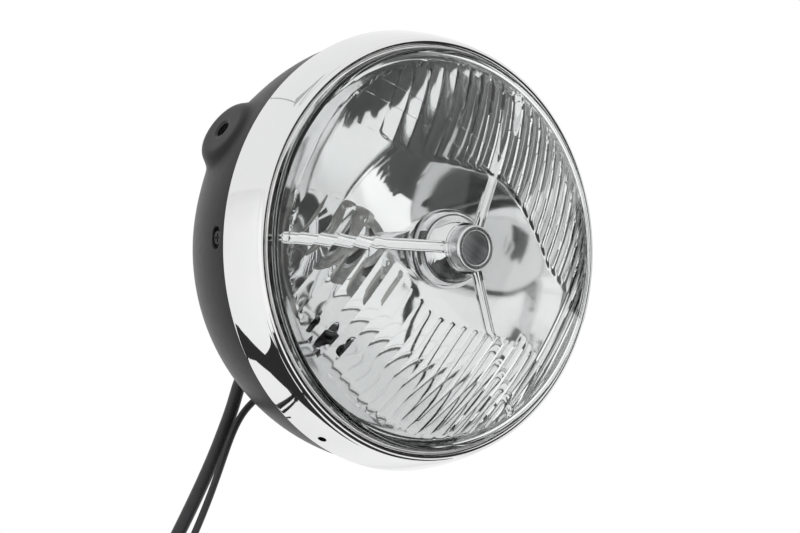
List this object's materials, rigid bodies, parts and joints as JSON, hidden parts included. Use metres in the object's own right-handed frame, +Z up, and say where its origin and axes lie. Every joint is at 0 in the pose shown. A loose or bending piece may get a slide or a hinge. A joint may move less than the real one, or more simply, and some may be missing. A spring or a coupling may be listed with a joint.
{
  "type": "motorcycle headlight",
  "caption": "Round 7 inch motorcycle headlight: black bowl shell with side mounts, chrome rim, fluted glass lens with a tri-bar and a round medallion, two cords hanging from the back",
  "frame": {"origin": "midway between the two side mounts, on their common axis", "axes": "+X to the right mount as seen from the front, +Y back towards the shell's rear, +Z up; the glass faces -Y"},
  "size_m": [0.1916, 0.1387, 0.4042],
  "materials": {
    "shell_paint": "satin",
    "rim_chrome": "polished",
    "lens_glass": "clear",
    "bulb_glass": "clear",
    "mirror_coat": "polished",
    "plated_steel": "satin",
    "dark_steel": "satin",
    "dark_disc": "brushed",
    "brass": "satin",
    "black_rubber": "matte",
    "black_plastic": "matte",
    "lead_plastic": "matte",
    "pale_rubber": "matte"
  },
  "bodies": {
    "root": {"shell": "shell_paint", "left_mount_insert": "dark_steel", "right_mount_insert": "dark_steel", "rim": "rim_chrome", "left_rim_tab": "plated_steel", "right_rim_tab": "plated_steel", "top_rim_hook": "plated_steel", "rim_screws": "dark_steel", "lens": "lens_glass", "lens_gasket": "pale_rubber", "clip_ring": "plated_steel", "spring_clips": "plated_steel", "reflector": "mirror_coat", "tri_bar": "rim_chrome", "bulb_shield": "rim_chrome", "medallion_bezel": "rim_chrome", "medallion_disc": "dark_disc", "bulb_glass": "bulb_glass", "bulb_cap": "plated_steel", "bulb_terminals": "brass", "bulb_retainer": "plated_steel", "bulb_boot": "black_rubber", "bulb_connector": "black_plastic", "connector_leads": "lead_plastic", "pilot_holder": "black_rubber", "pilot_bulb": "bulb_glass", "pilot_lead": "black_plastic", "earth_screw": "brass", "cord_grommet": "black_rubber", "lead_grommet": "black_rubber", "main_cord": "black_plastic", "pilot_cord": "black_plastic", "main_connector": "black_plastic", "pilot_connector": "black_rubber"}
  },
  "joints": []
}
